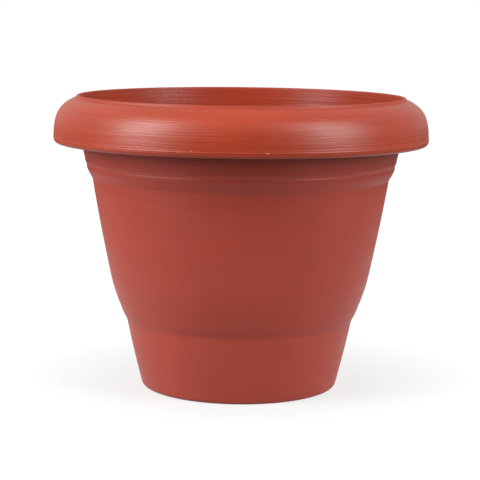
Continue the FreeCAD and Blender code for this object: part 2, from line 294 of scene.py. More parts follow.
def turned(name, points, segments, material):
    curve = profileCurve(name + "Profile", points)
    piece = applyTree(name, latheTree, {"Profile": curve, "Segments": segments, "Finish": material})
    discard(curve)
    return piece


def ringed(tree, blank, copy, count, firstAngle, material):
    name = blank.name
    blank.name = name + "Blank"
    values = {"Blank": blank, "Copy": copy, "Count": count, "First Angle": firstAngle, "Finish": material}
    piece = applyTree(name, tree, values)
    discard(blank, copy)
    return piece


def prism(name, rings):
    # closed mesh through stacked rings of points, in millimetres
    shape = bmesh.new()
    loops = [[shape.verts.new(Vector(point) * milli) for point in ring] for ring in rings]
    count = len(loops[0])
    for low, high in zip(loops, loops[1:]):
        for index in range(count):
            after = (index + 1) % count
            shape.faces.new((low[index], low[after], high[after], high[index]))
    shape.faces.new(list(reversed(loops[0])))
    shape.faces.new(loops[-1])
    bmesh.ops.recalc_face_normals(shape, faces=shape.faces)
    mesh = bpy.data.meshes.new(name)
    shape.to_mesh(mesh)
    shape.free()
    piece = bpy.data.objects.new(name, mesh)
    scene.collection.objects.link(piece)
    return piece


def circleRing(reach, radius, z, count):
    # circle of points round a centre on the X axis
    angles = [2 * math.pi * step / count for step in range(count)]
    return [(reach + radius * math.cos(angle), radius * math.sin(angle), z) for angle in angles]


def obround(start, end, width, z, grow=0.0, steps=9):
    # slot outline along X between start and end, grown outwards by grow
    half = width / 2 + grow
    points = []
    for centre, first in ((end - width / 2, -90), (start + width / 2, 90)):
        for step in range(steps + 1):
            angle = math.radians(first + 180 * step / steps)
            points.append((centre + half * math.cos(angle), half * math.sin(angle), z))
    return points


# material helpers
def newMaterial(name):
    material = bpy.data.materials.new(name)
    material.use_nodes = True
    shader = material.node_tree.nodes["Principled BSDF"]
    return material, material.node_tree, shader


def noise(tree, vector, scale, detail=2.0, roughness=0.5):
    node = addNode(tree, "ShaderNodeTexNoise",
                   {"Vector": vector, "Scale": scale, "Detail": detail, "Roughness": roughness})
    return node.outputs[0]


def remap(tree, value, fromLow, fromHigh, toLow, toHigh):
    node = addNode(tree, "ShaderNodeMapRange", {
        "Value": value, "From Min": fromLow, "From Max": fromHigh, "To Min": toLow, "To Max": toHigh})
    return node.outputs[0]


def mixColours(tree, factor, first, second, blend="MIX"):
    # of a Mix node, inputs 6 and 7 and output 2 are the ones for colours
    node = addNode(tree, "ShaderNodeMix", data_type="RGBA", blend_type=blend)
    feed(tree, node.inputs[0], factor)
    for socket, colour in ((node.inputs[6], first), (node.inputs[7], second)):
        feed(tree, socket, (*colour, 1) if isinstance(colour, tuple) else colour)
    return node.outputs[2]


def shaded(tree, tone, pattern, span, shades):
    # a tone times two shades that follow a pattern over a span of its values
    node = addNode(tree, "ShaderNodeValToRGB", {0: pattern})
    for element, place, shade in zip(node.color_ramp.elements, span, shades):
        element.position = place
        element.color = (*shade, 1)
    return mixColours(tree, 1.0, tone, node.outputs["Color"], "MULTIPLY")


def bumped(tree, shader, height, strength, distance):
    bump = addNode(tree, "ShaderNodeBump", {"Height": height, "Strength": strength, "Distance": distance})
    tree.links.new(bump.outputs[0], shader.inputs["Normal"])


def grained(tree, shader, place, look):
    # fine grain that varies the polish and stands out a little
    fine = noise(tree, place, look["grainPerMetre"])
    low = look["roughness"] - look["roughSpread"]
    high = look["roughness"] + look["roughSpread"]
    tree.links.new(remap(tree, fine, *noiseSpan, low, high), shader.inputs["Roughness"])
    bumped(tree, shader, fine, *look["bump"])


potFinish = {
    "rimColour": (0.432, 0.0485, 0.016),
    "bodyColour": (0.455, 0.0548, 0.0298),
    "rimLine": 0.2005,           # height where the polished rim ends
    "lineBlend": 0.001,
    "insideRadius": 0.1312,      # painted shade: the wall inside the mouth is painted darker than the rim
    "insidePaintedShade": (0.86, 0.86, 0.86),
    "insideFade": 0.016,
    "lipLine": 0.2355,           # above it the lip is worn dull
    "lipBlend": 0.0006,
    "lipWear": 0.13,
    "rimRoughness": 0.39,
    "bodyRoughness": 0.49,
    "streakRoughness": (-0.05, 0.06),
    "mottleRoughness": (-0.02, 0.02),
    "reflection": 0.57,
    "flashColour": (0.72, 0.30, 0.20),
    "paintedHighlightLine": 0.1840,       # painted highlight: a pale line round the neck
    "paintedHighlightWidth": (0.0002, 0.0011),
    "paintedHighlightStrength": 0.3,
    "paintedHighlightColour": (0.62, 0.095, 0.055),
    "streaksPerMetre": 620.0,    # fine turning lines left by the mould
    "streakSpan": (0.35, 0.7),
    "streakShades": ((0.93, 0.92, 0.91), (1.08, 1.10, 1.12)),
    "streaksOnBody": 0.35,       # share of the lines' shades that the body shows
    "streakRelief": (0.4, 6.5),  # on the body and on the rim
    "grainPerMetre": 2600.0,
    "grainShades": ((0.95, 0.95, 0.95), (1.04, 1.04, 1.04)),
    "grainRelief": (1.0, 0.35),  # on the body and on the rim
    "mottlePerMetre": 14.0,
    "mottleShades": ((0.93, 0.93, 0.93), (1.06, 1.06, 1.06)),
    "bump": (0.45, 0.0001),      # strength, and height in metres
}


def potMaterial():
    look = potFinish
    material, tree, shader = newMaterial("terracottaPlastic")
    place = tree.nodes.new("ShaderNodeTexCoord").outputs["Object"]
    axes = addNode(tree, "ShaderNodeSeparateXYZ", {"Vector": place}).outputs
    flat = addNode(tree, "ShaderNodeCombineXYZ", {"X": axes["X"], "Y": axes["Y"]}).outputs[0]
    radius = addNode(tree, "ShaderNodeVectorMath", {0: flat}, operation="LENGTH").outputs["Value"]
    around = addNode(tree, "ShaderNodeVectorMath", {0: flat}, operation="NORMALIZE").outputs[0]
    # place along the profile: height minus radius grows all the way from the skirt to the lip
    along = mathNode(tree, "SUBTRACT", axes["Z"], radius)
    line = mathNode(tree, "MULTIPLY", along, look["streaksPerMetre"])
    turn = addNode(tree, "ShaderNodeSeparateXYZ", {"Vector": around}).outputs
    streakPlace = addNode(tree, "ShaderNodeCombineXYZ", {"X": line, "Y": turn["X"], "Z": turn["Y"]})
    streaks = noise(tree, streakPlace.outputs[0], 1.0, 3.0, 0.6)
    slow = noise(tree, place, look["mottlePerMetre"], 3.0)
    fine = noise(tree, place, look["grainPerMetre"])
    rimLine = look["rimLine"]
    blend = look["lineBlend"]
    rim = remap(tree, axes["Z"], rimLine - blend, rimLine + blend, 0.0, 1.0)
    # colour: two tones, painted shade inside the mouth, slow mottling, fine speckle and pale turning lines
    tone = mixColours(tree, rim, look["bodyColour"], look["rimColour"])
    # painted shade: darkens the tone inside the mouth, fading in above the rim line
    inside = remap(tree, radius, look["insideRadius"], look["insideRadius"] + blend, 1.0, 0.0)
    fade = remap(tree, axes["Z"], rimLine, rimLine + look["insideFade"], 0.0, 1.0)
    insideShadedTone = mixColours(tree, 1.0, tone, look["insidePaintedShade"], "MULTIPLY")
    tone = mixColours(tree, mathNode(tree, "MULTIPLY", inside, fade), tone, insideShadedTone)
    tone = shaded(tree, tone, slow, noiseSpan, look["mottleShades"])
    tone = shaded(tree, tone, fine, noiseSpan, look["grainShades"])
    lined = shaded(tree, tone, streaks, look["streakSpan"], look["streakShades"])
    strength = remap(tree, rim, 0.0, 1.0, look["streaksOnBody"], 1.0)
    tone = mixColours(tree, strength, tone, lined)
    # painted highlight: a pale band of colour round the neck at one height
    offLine = mathNode(tree, "ABSOLUTE", mathNode(tree, "SUBTRACT", axes["Z"], look["paintedHighlightLine"]))
    paintedHighlight = remap(tree, offLine, *look["paintedHighlightWidth"], look["paintedHighlightStrength"], 0.0)
    tone = mixColours(tree, paintedHighlight, tone, look["paintedHighlightColour"])
    flash = addNode(tree, "ShaderNodeAttribute", attribute_name="pale").outputs["Fac"]
    tree.links.new(mixColours(tree, flash, tone, look["flashColour"]), shader.inputs["Base Color"])
    # polish: satin rim with streaks, dull lip, matte body
    rough = remap(tree, rim, 0.0, 1.0, look["bodyRoughness"], look["rimRoughness"])
    drift = remap(tree, streaks, *noiseSpan, *look["streakRoughness"])
    patch = remap(tree, slow, *noiseSpan, *look["mottleRoughness"])
    worn = remap(tree, axes["Z"], look["lipLine"], look["lipLine"] + look["lipBlend"], 0.0, look["lipWear"])
    for change in (drift, patch, worn):
        rough = mathNode(tree, "ADD", rough, change)
    tree.links.new(rough, shader.inputs["Roughness"])
    # relief: spark-eroded grain on the body, turning lines on the rim
    grain = mathNode(tree, "MULTIPLY", fine, remap(tree, rim, 0.0, 1.0, *look["grainRelief"]))
    lines = mathNode(tree, "MULTIPLY", streaks, remap(tree, rim, 0.0, 1.0, *look["streakRelief"]))
    bumped(tree, shader, mathNode(tree, "ADD", grain, lines), *look["bump"])
    shader.inputs["Specular IOR Level"].default_value = look["reflection"]
    return material


gridFinish = {
    "colour": (0.34, 0.062, 0.038),
    "mottlePerMetre": 40.0,
    "mottleShades": ((0.90, 0.90, 0.90), (1.08, 1.08, 1.08)),
    "roughness": 0.58,
    "roughSpread": 0.06,
    "grainPerMetre": 1800.0,
    "bump": (0.3, 0.0001),
}


def gridMaterial():
    look = gridFinish
    material, tree, shader = newMaterial("gridPlastic")
    place = tree.nodes.new("ShaderNodeTexCoord").outputs["Object"]
    slow = noise(tree, place, look["mottlePerMetre"], 4.0)
    tone = shaded(tree, look["colour"], slow, noiseSpan, look["mottleShades"])
    tree.links.new(tone, shader.inputs["Base Color"])
    grained(tree, shader, place, look)
    return material


rubberFinish = {
    "colour": (0.022, 0.021, 0.020),
    "bloom": (0.060, 0.058, 0.055),  # grey bloom that rubber grows
    "bloomPerMetre": 180.0,
    "bloomSpan": (0.45, 0.75),
    "roughness": 0.72,
    "roughSpread": 0.08,
    "grainPerMetre": 3000.0,
    "bump": (0.3, 0.0001),
}


def rubberMaterial():
    look = rubberFinish
    material, tree, shader = newMaterial("plugRubber")
    place = tree.nodes.new("ShaderNodeTexCoord").outputs["Object"]
    slow = noise(tree, place, look["bloomPerMetre"], 4.0, 0.6)
    bloom = remap(tree, slow, *look["bloomSpan"], 0.0, 1.0)
    tree.links.new(mixColours(tree, bloom, look["colour"], look["bloom"]), shader.inputs["Base Color"])
    grained(tree, shader, place, look)
    return material


potPlastic = potMaterial()
gridPlastic = gridMaterial()
plugRubber = rubberMaterial()
print("materials ready")


# moulded shell
shellSize = {
    "top": cadBounds[1][2] / milli,
    "wall": 2.5,
    "mouth": 131.0,
    "land": 20.0,                   # straight stretch below the lip
    "lipCollar": 133.4,             # outside of the collar round the lip
    "lipGroove": (133.7, 2.35),     # radius, and depth below the lip, as for the next four
    "crownStart": (136.7, 2.75),
    "crownPull": (147.0, 8.2),
    "shoulderPull": (151.3, 13.6),
    "skirtTurn": (151.9, 30.0),
    "skirtRadius": 152.0,
    "channelLift": 0.4,             # inner corner of the rim's hollow, above the crown's underside there
    "parting": 33.3,                # parting line, below the lip
    "ridge": 152.2,                 # radius of the ridge at that line
    "ridgeSteps": (-0.45, -0.3, 0.2, 0.7),  # foot, lower edge, upper edge and head of the ridge
    "bandInset": 0.1,               # the band under the ridge, which rounds in to the lower edge
    "bandBow": 3.4,
    "skirtEdge": 37.5,
    "edgeRadii": (148.2, 149.9),    # of the lower edge, inside and outside
    "neck": 53.9,                   # neck inside, below the lip, and end of its outer band above that
    "neckLift": 4.0,
    "neckRadius": 126.9,
    "neckBow": 11.0,
    "groove": (125.2, 182.9),       # radius and height, as for the next six
    "beltTop": (125.35, 182.1),
    "beltMiddle": (124.3, 177.9),
    "bellyTop": (120.75, 171.6),
    "bellyFoot": (105.4, 90.0),
    "shoulderLine": (98.3, 68.0),   # faint line above the lower crease
    "crease": (92.7, 55.6),
    "beltTopBow": 10.0,
    "beltBow": 60.0,
    "bellyBow": 1700.0,
    "shoulderBow": 150.0,
    "innerShoulderBow": 130.0,
    "creaseBow": 55.0,
    "lowerBow": 1000.0,
    "innerInset": 1.0,              # extra wall inside the neck
    "innerCorner": (0.9, 5.0),      # where the inner wall turns to the floor, out and up from the base
    "cornerInset": 0.25,
    "baseRadius": 79.7,
    "baseRounding": 4.0,
    "footRadius": 76.2,
    "floorLow": 8.0,
    "floorTop": 10.5,
    "gate": (2.3, 2.6, 7.2),        # nub where the plastic ran in: radius at its end, at the floor, height
    "hub": (18.0, 20.0),
    "ribLow": 4.5,
    "ribHalf": 1.0,
    "ribEase": 0.3,                 # bevel of the rib's lower edge
    "ribDraft": 0.15,
    "ribBury": (1.0, 0.6),          # into the foot ring and into the floor
    "drainRadius": 7.0,
    "drainReach": 50.0,
    "drainCount": 4,
    "drainBevel": 0.5,
    "drainSegments": 48,
    "segments": 256,
}


def shellProfile():
    size = shellSize
    top = size["top"]
    wall = size["wall"]
    mouth = size["mouth"]
    land = top - size["land"]
    parting = top - size["parting"]
    edge = top - size["skirtEdge"]
    skirt = size["skirtRadius"]
    neckZ = top - size["neck"]
    neck = size["neckRadius"]
    neckFoot = (neck, neckZ + size["neckLift"])
    groove = size["groove"]
    beltTop = size["beltTop"]
    beltMiddle = size["beltMiddle"]
    bellyTop = size["bellyTop"]
    bellyFoot = size["bellyFoot"]
    shoulderLine = size["shoulderLine"]
    crease = size["crease"]
    base = size["baseRadius"]
    foot = size["footRadius"]
    floorLow = size["floorLow"]
    floorTop = size["floorTop"]
    hubIn, hubOut = size["hub"]
    ribLow = size["ribLow"]
    gateEnd, gateRoot, gateLow = size["gate"]

    path = [(0, gateLow, 0), (gateEnd, gateLow, 0.3), (gateRoot, floorLow, 0.4)]
    path += [(hubIn, floorLow, 0.5), (hubIn, ribLow, 0.3), (hubOut, ribLow, 0.3), (hubOut, floorLow, 0.5)]
    # foot ring with its outer edge rounded off into the lower wall
    rounding = size["baseRounding"]
    draft = math.atan2(crease[0] - base, crease[1])
    footEdge = (base - rounding * math.tan((math.pi / 2 - draft) / 2), 0)
    wallStart = (footEdge[0] + rounding * math.cos(draft), rounding * (1 - math.sin(draft)))
    path += [(foot, floorLow, 1.5), (foot, 0, 0.1), (*footEdge, 0)]
    path += bow(footEdge, wallStart, rounding, 8) + [(*wallStart, 0)]
    path += bow(wallStart, crease, size["lowerBow"], 8)[:-1] + [(*crease, 12.0)]
    path += bow(crease, shoulderLine, size["creaseBow"], 6)[1:] + [(*shoulderLine, 0)]
    path += bow(shoulderLine, bellyFoot, size["shoulderBow"], 10) + [(*bellyFoot, 0)]
    path += bow(bellyFoot, bellyTop, size["bellyBow"], 14) + [(*bellyTop, 2.0)]
    # the belt and the neck are two rounded bands that meet in a groove
    path += bow(bellyTop, beltMiddle, size["beltBow"], 4) + [(*beltMiddle, 0)]
    path += bow(beltMiddle, beltTop, size["beltTopBow"], 6) + [(*beltTop, 0.3), (*groove, 0.3)]
    path += bow(groove, neckFoot, size["neckBow"], 7) + [(*neckFoot, 3.0)]
    # up inside the hollow rim, out under the crown and down the inside of the skirt
    pulls = [size[name] for name in ("crownStart", "crownPull", "shoulderPull", "skirtTurn")]
    crown = bezier([(radius, top - depth) for radius, depth in pulls], 30)
    under = offsetPath(crown, -wall)
    path += [(mouth + wall, land, 2.0), (mouth + wall, under[0][1] + size["channelLift"], 1.5)]
    path += under
    # skirt edge: a band that rounds in, with the ridge of the parting line above it
    edgeIn, edgeOut = size["edgeRadii"]
    ridge = size["ridge"]
    ridgeFoot, ridgeLow, ridgeHigh, ridgeHead = [parting + step for step in size["ridgeSteps"]]
    bandTop = (skirt - size["bandInset"], ridgeFoot)
    path += [(edgeIn, edge, 0.5), (edgeOut, edge, 0.5)]
    path += bow((edgeOut, edge), bandTop, size["bandBow"], 6) + [(*bandTop, 0.2)]
    path += [(ridge, ridgeLow, 0.15), (ridge, ridgeHigh, 0.2), (skirt, ridgeHead, 0.3)]
    path += list(reversed(crown))
    grooveRadius, grooveDepth = size["lipGroove"]
    path += [(grooveRadius, top - grooveDepth, 1.2), (size["lipCollar"], top, 1.0), (mouth, top, 1.0)]
    # inside, one wall in from the outside
    innerNeck = (neck - wall - size["innerInset"], neckZ)
    innerTop = (bellyTop[0] - wall, bellyTop[1])
    innerFoot = (bellyFoot[0] - wall, bellyFoot[1])
    innerCrease = (crease[0] - wall, crease[1])
    cornerOut, cornerUp = size["innerCorner"]
    innerLow = (base + cornerOut, floorTop + cornerUp)
    path += [(mouth, land, 2.0), (*innerNeck, 2.0)]
    path += bow(innerNeck, innerTop, -size["beltBow"], 6) + [(*innerTop, 1.0)]
    path += bow(innerTop, innerFoot, -size["bellyBow"], 14) + [(*innerFoot, 0)]
    path += bow(innerFoot, innerCrease, -size["innerShoulderBow"], 14) + [(*innerCrease, 1.0)]
    path += bow(innerCrease, innerLow, -size["lowerBow"], 6) + [(*innerLow, 0)]
    path += [(base - size["cornerInset"], floorTop, 3.0), (0, floorTop, 0)]
    return roundPath(path)


def ribBar():
    # stiffening rib from the hub ring to the foot ring, its lower edge eased
    size = shellSize
    low = size["ribLow"]
    ease = size["ribEase"]
    buryOut, buryUp = size["ribBury"]
    start = sum(size["hub"]) / 2
    end = size["footRadius"] + buryOut
    rings = []
    for z, inset in ((low, ease), (low + ease, 0.0), (size["floorLow"] + buryUp, -size["ribDraft"])):
        wide = size["ribHalf"] - inset
        rings.append([(start, -wide, z), (end, -wide, z), (end, wide, z), (start, wide, z)])
    return prism("ribBar", rings)


def drainCutter():
    size = shellSize
    hole = size["drainRadius"]
    low = size["floorLow"]
    top = size["floorTop"]
    bevel = size["drainBevel"]
    clear = 3.5  # how far the cutter passes the floor's faces
    past = 0.1   # its bevels start this far outside them
    levels = ((low - clear, bevel), (low - past, bevel), (low + bevel - past, 0.0),
              (top - bevel + past, 0.0), (top + past, bevel), (top + clear, bevel))
    reach = size["drainReach"]
    count = size["drainSegments"]
    return prism("drainCutter", [circleRing(reach, hole + grow, z, count) for z, grow in levels])


def makeShell():
    shell = turned("potShell", shellProfile(), shellSize["segments"], potPlastic)
    count = shellSize["drainCount"]
    shell = ringed(joinTree, shell, ribBar(), count, 0.0, potPlastic)
    shell = ringed(cutTree, shell, drainCutter(), count, math.pi / count, potPlastic)
    return shell


potShell = makeShell()
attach(potShell, "pot")
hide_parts("pot_shell")
print("shell", len(potShell.data.polygons), "faces")


# drain grid
gridSize = {
    "floor": shellSize["floorTop"],
    "plateLow": 20.5,
    "plateTop": 23.0,
    "edgeLow": 17.5,
    "edge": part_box("drain_grid")[1][0] / milli,
    "edgeWidth": 2.5,
    "hub": (11.5, 14.0),
    "recess": (43.0, 67.0),         # shallow recess round the outer slots
    "recessSlope": 0.3,
    "recessDepth": 0.25,
    "stem": 5.5,
    "stemTop": 28.0,
    "stemFlare": (1.5, 1.8),
    "knob": 11.0,
    "knobUnder": 0.6,
    "top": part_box("drain_grid")[1][2] / milli,
    "dimple": (4.5, 6.0),
    "dimpleDepth": 0.7,
    "slots": ((12, 20.0, 38.0), (30, 47.0, 63.0)),  # count, start and end of each ring
    "slotWidth": 4.5,
    "slotBevels": ((0.35, 0.4), (0.4, 0.5)),        # width and height, below and above
    "pegReach": 71.0,
    "peg": 3.0,
    "pegFoot": ((0.0, -0.5), (0.4, -0.1), (1.0, 0.0)),  # height from the floor, change of radius
    "pegHead": ((-0.8, 0.0), (0.4, 0.8)),               # height from the plate, change of radius
    "pegCount": 8,
    "pegSegments": 32,
    "segments": 192,
}


def gridProfile():
    size = gridSize
    floor = size["floor"]
    low = size["plateLow"]
    top = size["plateTop"]
    edge = size["edge"]
    edgeLow = size["edgeLow"]
    inner = edge - size["edgeWidth"]
    hubIn, hubOut = size["hub"]
    recessIn, recessOut = size["recess"]
    slope = size["recessSlope"]
    sunk = top - size["recessDepth"]
    stem = size["stem"]
    stemTop = size["stemTop"]
    flareOut, flareUp = size["stemFlare"]
    knob = size["knob"]
    knobUnder = stemTop - size["knobUnder"]
    knobTop = size["top"]
    dimpleIn, dimpleOut = size["dimple"]
    dimpleLow = knobTop - size["dimpleDepth"]
    path = [(0, low, 0), (hubIn, low, 0.6), (hubIn, floor, 0.3), (hubOut, floor, 0.3), (hubOut, low, 1.0)]
    path += [(inner, low, 0.8), (inner, edgeLow, 0.4), (edge, edgeLow, 0.5), (edge, top, 1.0)]
    path += [(recessOut, top, 0.2), (recessOut - slope, sunk, 0.2)]
    path += [(recessIn + slope, sunk, 0.2), (recessIn, top, 0.2)]
    path += [(stem + flareOut, top, 0.5), (stem, top + flareUp, 1.5), (stem, knobUnder, 1.2)]
    path += [(knob, stemTop, 0.8), (knob, knobTop, 2.5)]
    path += [(dimpleOut, knobTop, 2.0), (dimpleIn, dimpleLow, 1.5), (0, dimpleLow, 0)]
    return roundPath(path)


def slotCutter(start, end):
    size = gridSize
    low = size["plateLow"]
    face = size["plateTop"] - size["recessDepth"]
    (lowWide, lowTall), (topWide, topTall) = size["slotBevels"]
    clear = 2.0  # how far the cutter passes the plate's faces
    past = 0.05  # its bevels start this far outside them
    levels = ((low - clear, lowWide), (low - past, lowWide), (low + lowTall, 0.0),
              (face - topTall, 0.0), (face + past, topWide), (face + clear, topWide))
    return prism("slotCutter", [obround(start, end, size["slotWidth"], z, grow) for z, grow in levels])


def pegPiece():
    size = gridSize
    levels = [(size["floor"] + up, size["peg"] + change) for up, change in size["pegFoot"]]
    levels += [(size["plateLow"] + up, size["peg"] + change) for up, change in size["pegHead"]]
    count = size["pegSegments"]
    return prism("pegPiece", [circleRing(size["pegReach"], radius, z, count) for z, radius in levels])


def makeGrid():
    size = gridSize
    grid = turned("drainGrid", gridProfile(), size["segments"], gridPlastic)
    grid = ringed(joinTree, grid, pegPiece(), size["pegCount"], 0.0, gridPlastic)
    for count, start, end in size["slots"]:
        grid = ringed(cutTree, grid, slotCutter(start, end), count, 0.0, gridPlastic)
    return grid


drainGrid = makeGrid()
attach(drainGrid, "grid")
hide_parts("drain_grid")
print("grid", len(drainGrid.data.polygons), "faces")


# rubber plugs
plugSize = {
    "headLow": 6.0,
    "headTop": shellSize["floorLow"],
    "head": 11.0,
    "headGroove": (8.2, 8.5, 9.1, 9.4),  # radii of the moulded ring under the head
    "grooveDepth": 0.25,
    "shank": 6.85,
    "top": 10.2,
    "topBevel": 0.8,
    "dimple": (3.6, 4.2),
    "dimpleDepth": 1.4,
    "tabLow": 2.0,
    "tabHalf": 6.0,
    "tabThick": 1.5,
    "tabCorner": 0.7,
    "cornerSteps": 4,
    # height, inset of the sides and swell of the thickness, from the tab's end and from the head
    "tabEnd": ((0.0, 2.0, -0.5), (0.25, 1.2, -0.2), (0.7, 0.6, 0.0), (1.3, 0.25, 0.0)),
    "tabRoot": ((-0.2, 0.0, 0.0), (0.4, -0.6, 0.5)),
    "ridgeCount": 3,
    "ridgeStart": 1.5,
    "ridgePitch": 0.75,
    "ridgeTall": 0.35,
    "ridgeDeep": 0.25,
    "ridgeInset": 0.1,
    "segments": 72,
}


def plugProfile():
    size = plugSize
    low = size["headLow"]
    headTop = size["headTop"]
    head = size["head"]
    ringStart, ringIn, ringOut, ringEnd = size["headGroove"]
    ringTop = low + size["grooveDepth"]
    shank = size["shank"]
    top = size["top"]
    bevel = size["topBevel"]
    dimpleIn, dimpleOut = size["dimple"]
    dimpleLow = top - size["dimpleDepth"]
    path = [(0, low, 0), (ringStart, low, 0.2), (ringIn, ringTop, 0.2), (ringOut, ringTop, 0.2)]
    path += [(ringEnd, low, 0.2), (head, low, 0.8), (head, headTop, 0.3), (shank, headTop, 0.2)]
    path += [(shank, top - bevel, 0.3), (shank - bevel, top, 0.3)]
    path += [(dimpleOut, top, 0.3), (dimpleIn, dimpleLow, 0.4), (0, dimpleLow, 0)]
    return roundPath(path, stepAngle=22)


def pullTab():
    # flat tab under the head, with rounded corners and grip ridges each side
    size = plugSize
    levels = [(size["tabLow"] + up, inset, swell) for up, inset, swell in size["tabEnd"]]
    for ridge in range(size["ridgeCount"]):
        z = size["tabLow"] + size["ridgeStart"] + size["ridgePitch"] * ridge
        levels += [(z, size["ridgeInset"], -size["ridgeDeep"]), (z + size["ridgeTall"], 0.0, 0.0)]
    levels += [(size["headLow"] + up, inset, swell) for up, inset, swell in size["tabRoot"]]
    steps = size["cornerSteps"]
    rings = []
    for z, inset, swell in levels:
        wide = size["tabHalf"] - inset
        deep = size["tabThick"] + swell
        corner = min(size["tabCorner"], deep)
        ring = []
        for x, y, first in ((wide, deep, 0), (-wide, deep, 90), (-wide, -deep, 180), (wide, -deep, 270)):
            for step in range(steps + 1):
                angle = math.radians(first + 90 * step / steps)
                ring.append((x - math.copysign(corner, x) + corner * math.cos(angle),
                             y - math.copysign(corner, y) + corner * math.sin(angle), z))
        rings.append(ring)
    return prism("pullTab", rings)


def makePlug(number):
    # the plug's own middle and turn come from its node
    low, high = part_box(f"drain_plug_{number}")
    centre = (Vector(low) + Vector(high)) / 2
    name = f"drainPlug{number}"
    plug = turned(name, plugProfile(), plugSize["segments"], plugRubber)
    plug = ringed(joinTree, plug, pullTab(), 1, 0.0, plugRubber)
    turn = math.atan2(centre.y, centre.x) + math.pi / 2
    plug.data.transform(Matrix.Translation((centre.x, centre.y, 0)) @ Matrix.Rotation(turn, 4, "Z"))
    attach(plug, f"plug_{number}")
    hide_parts(f"drain_plug_{number}")
    return plug


drainPlugs = [makePlug(number) for number in range(1, shellSize["drainCount"] + 1)]
print("plugs", len(drainPlugs))


# flash: pale bits of plastic that squeezed out along the parting line and the skirt's edge
flashSize = {
    "partingAngles": (-45.4, -41.5, -33.0, -29.0, -17.5, 7.3, 31, 58, 97, 118, 149, 171, 205, 236, 283),
    "standAngles": (-13.8, 131, 252),  # nicks that stand upright
    "edgeAngles": (8.3, 104, 222),
    "partingRadius": 152.1,
    "edgeRadius": shellSize["edgeRadii"][1],
    "standLift": 0.9,
    "edgeLift": 0.3,
    "paleness": (0.4, 0.9, 0.8),       # of the dashes, the nicks and the bits on the edge
    "nib": ((-0.4, 1.3, 0.55), (0.1, 1.2, 0.45), (0.33, 0.9, 0.3)),  # out, half width, half height
    "seed": 7,
}


def buildFlashTree():
    tree = newTree("flashAlongParting", [
        ("Places", "NodeSocketObject", None),
        ("Nib", "NodeSocketObject", None),
        ("Seed", "NodeSocketInt", 0),
        ("Smallest", "NodeSocketVector", (0.8, 0.6, 0.7)),
        ("Largest", "NodeSocketVector", (1.1, 1.7, 1.2)),
        ("Finish", "NodeSocketMaterial", None),
    ])
    given = tree.nodes.new("NodeGroupInput").outputs
    places = addNode(tree, "GeometryNodeObjectInfo", {"Object": given["Places"]})
    nib = addNode(tree, "GeometryNodeObjectInfo", {"Object": given["Nib"]})
    grow = addNode(tree, "FunctionNodeRandomValue", {
        0: given["Smallest"], 1: given["Largest"], "Seed": given["Seed"]}, data_type="FLOAT_VECTOR")
    where = addNode(tree, "GeometryNodeInputPosition").outputs[0]
    axes = addNode(tree, "ShaderNodeSeparateXYZ", {"Vector": where}).outputs
    facing = mathNode(tree, "ARCTAN2", axes["Y"], axes["X"])
    stand = addNode(tree, "GeometryNodeInputNamedAttribute", {"Name": "stand"}, data_type="FLOAT")
    tip = mathNode(tree, "MULTIPLY", stand.outputs[0], math.pi / 2)
    spin = addNode(tree, "ShaderNodeCombineXYZ", {"X": tip, "Z": facing})
    nibs = addNode(tree, "GeometryNodeInstanceOnPoints", {
        "Points": places.outputs["Geometry"], "Instance": nib.outputs["Geometry"],
        "Rotation": spin.outputs[0], "Scale": grow.outputs[0]})
    real = addNode(tree, "GeometryNodeRealizeInstances", {"Geometry": nibs.outputs[0]})
    finishTree(tree, real.outputs[0], given["Finish"])
    return tree


def makeFlash():
    size = flashSize
    mesh = bpy.data.meshes.new("flashPlaces")
    parting = shellSize["top"] - shellSize["parting"]
    edge = shellSize["top"] - shellSize["skirtEdge"]
    rows = ((size["partingAngles"], size["partingRadius"], parting, 0.0),
            (size["standAngles"], size["partingRadius"], parting + size["standLift"], 1.0),
            (size["edgeAngles"], size["edgeRadius"], edge + size["edgeLift"], 0.0))
    spots = []
    marks = {"stand": [], "pale": []}
    for (angles, radius, height, stand), paleness in zip(rows, size["paleness"]):
        for angle in angles:
            turn = math.radians(angle - 90)
            spots.append(Vector((radius * math.cos(turn), radius * math.sin(turn), height)) * milli)
            marks["stand"].append(stand)
            marks["pale"].append(paleness)
    mesh.from_pydata(spots, [], [])
    for mark, values in marks.items():
        mesh.attributes.new(mark, "FLOAT", "POINT").data.foreach_set("value", values)
    places = bpy.data.objects.new("flashPlaces", mesh)
    scene.collection.objects.link(places)
    # one nib with an uneven outline of six points
    rings = []
    for out, wide, tall in size["nib"]:
        rings.append([(out, -wide, -0.1), (out, -wide * 0.3, -tall), (out, wide, -tall * 0.6),
                      (out, wide * 0.8, tall * 0.5), (out, 0, tall), (out, -wide * 0.8, tall * 0.4)])
    nib = prism("flashNib", rings)
    values = {"Places": places, "Nib": nib, "Seed": size["seed"], "Finish": potPlastic}
    flash = applyTree("partingFlash", buildFlashTree(), values)
    discard(places, nib)
    return flash


partingFlash = makeFlash()
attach(partingFlash, "pot")
print("flash", len(partingFlash.data.polygons), "faces")


